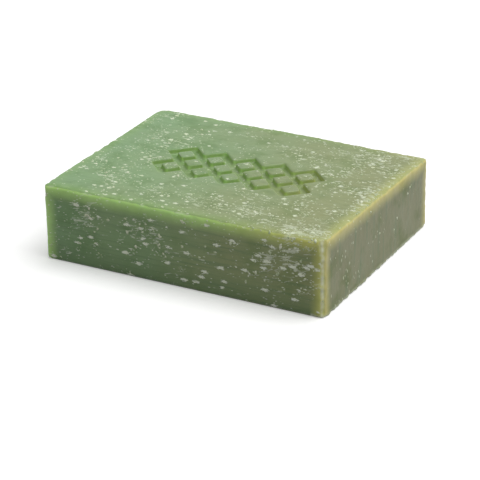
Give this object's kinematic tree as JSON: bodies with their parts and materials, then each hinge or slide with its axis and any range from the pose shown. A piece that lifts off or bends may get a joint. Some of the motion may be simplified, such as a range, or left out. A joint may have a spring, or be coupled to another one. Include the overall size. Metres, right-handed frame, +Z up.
{
  "type": "bar of soap",
  "caption": "Thick hand-cut rectangular bar of speckled green soap with worn edges and a shallow geometric stamp pressed into its top.",
  "frame": {"origin": "on the flat base, at the middle of the bar's bounding box", "axes": "+X along the length, +Y from the thick front long face to the thinner back one, +Z up through the thickness"},
  "size_m": [0.0888, 0.069, 0.023],
  "materials": {
    "soap": "satin, slightly translucent, with pale flecks and crumbs"
  },
  "bodies": {
    "root": {"soap_bar": "soap"}
  },
  "joints": []
}
